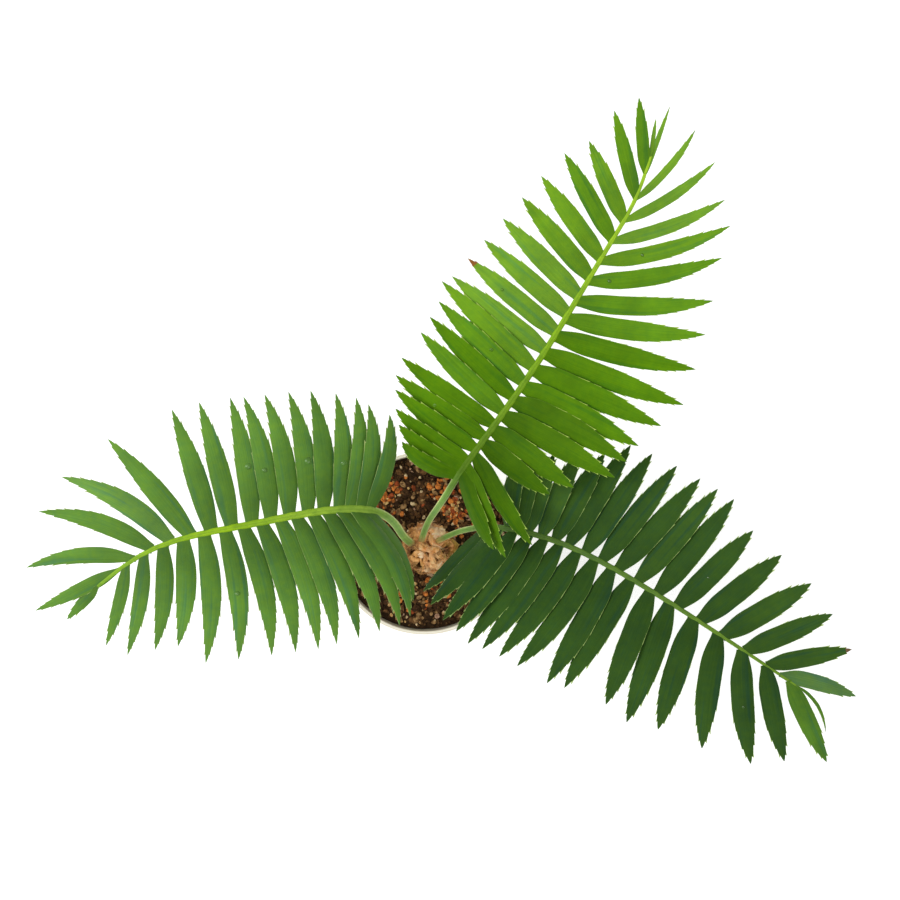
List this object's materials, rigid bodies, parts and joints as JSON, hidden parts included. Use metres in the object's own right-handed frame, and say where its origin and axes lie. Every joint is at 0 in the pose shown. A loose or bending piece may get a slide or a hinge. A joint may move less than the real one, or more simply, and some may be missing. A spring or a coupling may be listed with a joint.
{
  "type": "potted giant dioon",
  "caption": "Young potted cycad: long arching fronds of narrow spine-edged leaflets rise on bare stalks from a squat woolly caudex set in bark soil in a plain round white pot.",
  "frame": {"origin": "centre of the pot's flat underside, where the plant stands", "axes": "+Z up along the pot's axis, +Y towards the longest frond, +X towards the dark frond on the right as seen from above with +Y upwards"},
  "size_m": [0.6015, 0.4714, 0.3476],
  "materials": {
    "pot": "satin",
    "soil": "matte",
    "caudex": "matte",
    "petiole": "matte",
    "frond_left": "satin",
    "frond_top": "satin",
    "frond_right": "satin"
  },
  "bodies": {
    "root": {"pot": "pot", "soil": "soil", "caudex": "caudex", "petiole_left": "petiole", "petiole_top": "petiole", "petiole_right": "petiole", "frond_left": "frond_left", "frond_top": "frond_top", "frond_right": "frond_right"}
  },
  "joints": []
}
